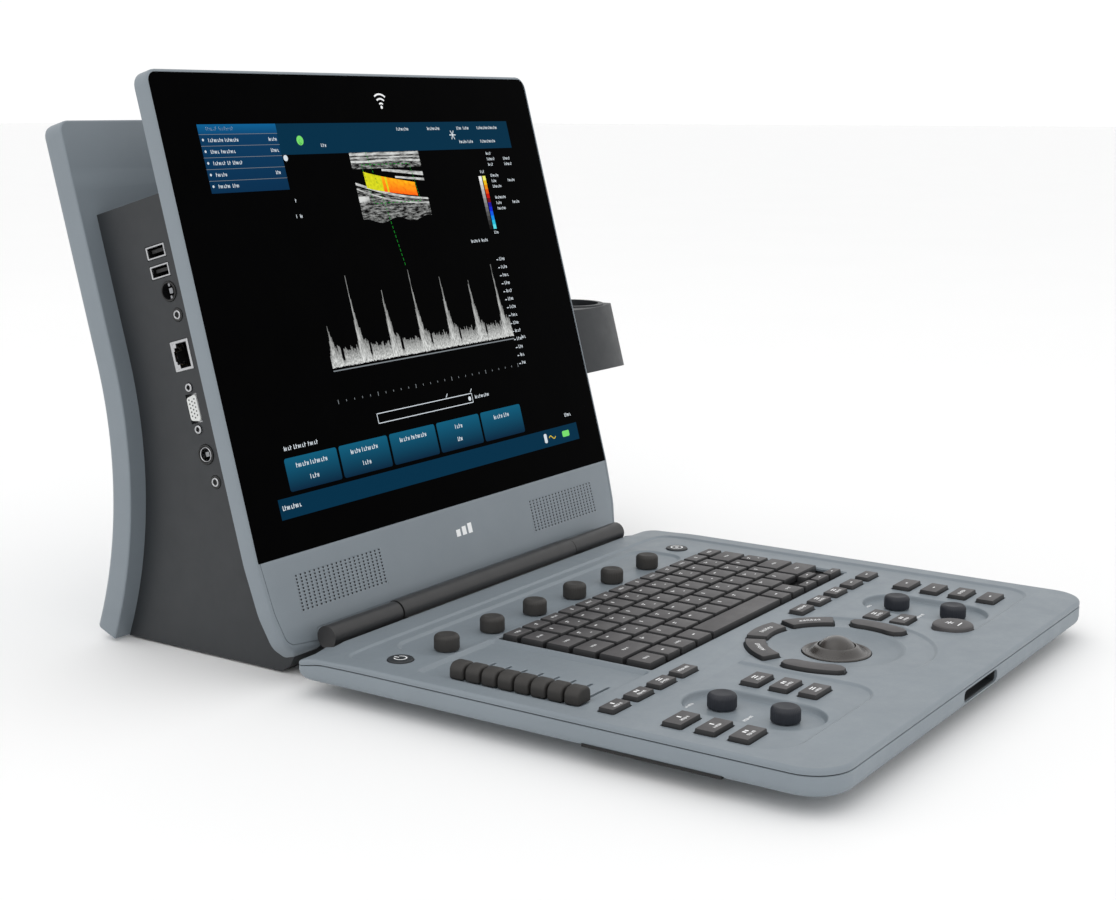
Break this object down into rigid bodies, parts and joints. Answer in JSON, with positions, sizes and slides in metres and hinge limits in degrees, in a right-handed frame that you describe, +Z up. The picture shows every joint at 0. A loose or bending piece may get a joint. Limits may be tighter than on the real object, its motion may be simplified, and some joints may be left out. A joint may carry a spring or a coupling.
{
  "type": "ultrasound scanner",
  "caption": "Portable veterinary ultrasound scanner: tilted display console with a hinged control deck of keys, knobs, gain sliders and a trackball, and a side probe holder.",
  "frame": {"origin": "middle of the console's underside, on the table it stands on", "axes": "+X to the right of someone facing the display, +Y to the back, +Z up"},
  "size_m": [0.451, 0.5302, 0.3431],
  "materials": {
    "light_shell": "fine matt texture",
    "dark_shell": "fine matt texture",
    "hinge_plastic": "satin",
    "key_plastic": "soft matt",
    "knob_plastic": "soft matt",
    "gain_knob_plastic": "soft matt",
    "front_glass": "polished, with a lit picture behind it",
    "display_module": "plain",
    "metal": "nickel plated",
    "component_metal": "plain",
    "board": "lacquered",
    "black_plastic": "matt",
    "rubber": "matt"
  },
  "bodies": {
    "console": {"main_housing": "dark_shell", "rear_cover": "light_shell", "front_bezel": "light_shell", "display_back": "light_shell", "screen_glass": "front_glass", "lcd_panel": "display_module", "speaker_grilles": "light_shell", "speakers": "black_plastic", "usb_sockets": "metal", "network_socket": "metal", "vga_socket": "metal", "round_sockets": "metal", "probe_sockets": "black_plastic", "probe_holder": "dark_shell", "power_inlet": "black_plastic", "main_board": "board", "power_supply": "black_plastic", "battery_pack": "black_plastic", "fan_frame": "black_plastic", "hinge_bracket": "hinge_plastic", "hinge_pins": "metal", "base_pad": "rubber", "housing_screws": "metal"},
    "deck": {"deck_top_shell": "light_shell", "deck_bottom_shell": "light_shell", "control_board": "board", "trackball_housing": "dark_shell", "rotary_encoders": "component_metal", "slider_tracks": "component_metal", "keyboard_base": "black_plastic", "hinge_cover": "hinge_plastic", "deck_feet": "rubber"},
    "fan_rotor": {"fan_rotor": "black_plastic"},
    "trackball": {"trackball": "dark_shell"},
    "menu_knob_1": {"menu_knob_1": "knob_plastic"},
    "menu_knob_2": {"menu_knob_2": "knob_plastic"},
    "menu_knob_3": {"menu_knob_3": "knob_plastic"},
    "menu_knob_4": {"menu_knob_4": "knob_plastic"},
    "menu_knob_5": {"menu_knob_5": "knob_plastic"},
    "menu_knob_6": {"menu_knob_6": "knob_plastic"},
    "gain_knob_1": {"gain_knob_1": "gain_knob_plastic"},
    "gain_knob_2": {"gain_knob_2": "gain_knob_plastic"},
    "gain_knob_3": {"gain_knob_3": "gain_knob_plastic"},
    "gain_knob_4": {"gain_knob_4": "gain_knob_plastic"},
    "slider_1": {"slider_1": "knob_plastic"},
    "slider_2": {"slider_2": "knob_plastic"},
    "slider_3": {"slider_3": "knob_plastic"},
    "slider_4": {"slider_4": "knob_plastic"},
    "slider_5": {"slider_5": "knob_plastic"},
    "slider_6": {"slider_6": "knob_plastic"},
    "slider_7": {"slider_7": "knob_plastic"},
    "slider_8": {"slider_8": "knob_plastic"},
    "qwerty_keys": {"qwerty_keys": "key_plastic"},
    "row_keys": {"row_keys": "key_plastic"},
    "side_keys": {"side_keys": "key_plastic"},
    "arc_keys": {"arc_keys": "key_plastic"},
    "select_keys": {"select_keys": "key_plastic"},
    "freeze_key": {"freeze_key": "key_plastic"},
    "power_button": {"power_button": "dark_shell"},
    "help_button": {"help_button": "dark_shell"}
  },
  "joints": [
    {"name": "deck_fold", "type": "hinge", "parent": "console", "child": "deck", "pos_m": [0, -0.095, 0.026], "axis": [-1, 0, 0], "range_deg": [0, 105]},
    {"name": "fan_spin", "type": "hinge", "parent": "console", "child": "fan_rotor", "pos_m": [0.085, 0.0495, 0.105], "axis": [0, 1, 0], "continuous": true},
    {"name": "ball_roll", "type": "hinge", "parent": "deck", "child": "trackball", "pos_m": [0, -0.339, 0.0172], "axis": [-1, 0, 0], "continuous": true},
    {"name": "menu_knob_1_turn", "type": "hinge", "parent": "deck", "child": "menu_knob_1", "pos_m": [-0.124, -0.158, 0.027], "axis": [0, 0, -1], "continuous": true},
    {"name": "menu_knob_2_turn", "type": "hinge", "parent": "deck", "child": "menu_knob_2", "pos_m": [-0.0807, -0.158, 0.027], "axis": [0, 0, -1], "continuous": true},
    {"name": "menu_knob_3_turn", "type": "hinge", "parent": "deck", "child": "menu_knob_3", "pos_m": [-0.0374, -0.158, 0.027], "axis": [0, 0, -1], "continuous": true},
    {"name": "menu_knob_4_turn", "type": "hinge", "parent": "deck", "child": "menu_knob_4", "pos_m": [0.0059, -0.158, 0.027], "axis": [0, 0, -1], "continuous": true},
    {"name": "menu_knob_5_turn", "type": "hinge", "parent": "deck", "child": "menu_knob_5", "pos_m": [0.0492, -0.158, 0.027], "axis": [0, 0, -1], "continuous": true},
    {"name": "menu_knob_6_turn", "type": "hinge", "parent": "deck", "child": "menu_knob_6", "pos_m": [0.0925, -0.158, 0.027], "axis": [0, 0, -1], "continuous": true},
    {"name": "gain_knob_1_turn", "type": "hinge", "parent": "deck", "child": "gain_knob_1", "pos_m": [-0.1195, -0.3315, 0.024], "axis": [0, 0, -1], "continuous": true},
    {"name": "gain_knob_2_turn", "type": "hinge", "parent": "deck", "child": "gain_knob_2", "pos_m": [-0.1195, -0.3676, 0.024], "axis": [0, 0, -1], "continuous": true},
    {"name": "gain_knob_3_turn", "type": "hinge", "parent": "deck", "child": "gain_knob_3", "pos_m": [0.101, -0.3315, 0.024], "axis": [0, 0, -1], "continuous": true},
    {"name": "gain_knob_4_turn", "type": "hinge", "parent": "deck", "child": "gain_knob_4", "pos_m": [0.101, -0.3676, 0.024], "axis": [0, 0, -1], "continuous": true},
    {"name": "slider_1_slide", "type": "slide", "parent": "deck", "child": "slider_1", "axis": [1, 0, 0], "range_m": [0, 0.028]},
    {"name": "slider_2_slide", "type": "slide", "parent": "deck", "child": "slider_2", "axis": [1, 0, 0], "range_m": [0, 0.028]},
    {"name": "slider_3_slide", "type": "slide", "parent": "deck", "child": "slider_3", "axis": [1, 0, 0], "range_m": [0, 0.028]},
    {"name": "slider_4_slide", "type": "slide", "parent": "deck", "child": "slider_4", "axis": [1, 0, 0], "range_m": [0, 0.028]},
    {"name": "slider_5_slide", "type": "slide", "parent": "deck", "child": "slider_5", "axis": [1, 0, 0], "range_m": [0, 0.028]},
    {"name": "slider_6_slide", "type": "slide", "parent": "deck", "child": "slider_6", "axis": [1, 0, 0], "range_m": [0, 0.028]},
    {"name": "slider_7_slide", "type": "slide", "parent": "deck", "child": "slider_7", "axis": [1, 0, 0], "range_m": [0, 0.028]},
    {"name": "slider_8_slide", "type": "slide", "parent": "deck", "child": "slider_8", "axis": [1, 0, 0], "range_m": [0, 0.028]},
    {"name": "qwerty_keys_press", "type": "slide", "parent": "deck", "child": "qwerty_keys", "axis": [0, 0, -1], "range_m": [0, 0.0012], "stiffness_N_per_m": 1500, "springref_m": -0.002},
    {"name": "row_keys_press", "type": "slide", "parent": "deck", "child": "row_keys", "axis": [0, 0, -1], "range_m": [0, 0.0012], "stiffness_N_per_m": 600, "springref_m": -0.002},
    {"name": "side_keys_press", "type": "slide", "parent": "deck", "child": "side_keys", "axis": [0, 0, -1], "range_m": [0, 0.0012], "stiffness_N_per_m": 700, "springref_m": -0.002},
    {"name": "arc_keys_press", "type": "slide", "parent": "deck", "child": "arc_keys", "axis": [0, 0, -1], "range_m": [0, 0.0012], "stiffness_N_per_m": 500, "springref_m": -0.002},
    {"name": "select_keys_press", "type": "slide", "parent": "deck", "child": "select_keys", "axis": [0, 0, -1], "range_m": [0, 0.0012], "stiffness_N_per_m": 500, "springref_m": -0.002},
    {"name": "freeze_key_press", "type": "slide", "parent": "deck", "child": "freeze_key", "axis": [0, 0, -1], "range_m": [0, 0.0012], "stiffness_N_per_m": 400, "springref_m": -0.002},
    {"name": "power_button_press", "type": "slide", "parent": "deck", "child": "power_button", "axis": [0, 0, -1], "range_m": [0, 0.001], "stiffness_N_per_m": 300, "springref_m": -0.002},
    {"name": "help_button_press", "type": "slide", "parent": "deck", "child": "help_button", "axis": [0, 0, -1], "range_m": [0, 0.001], "stiffness_N_per_m": 300, "springref_m": -0.002}
  ]
}
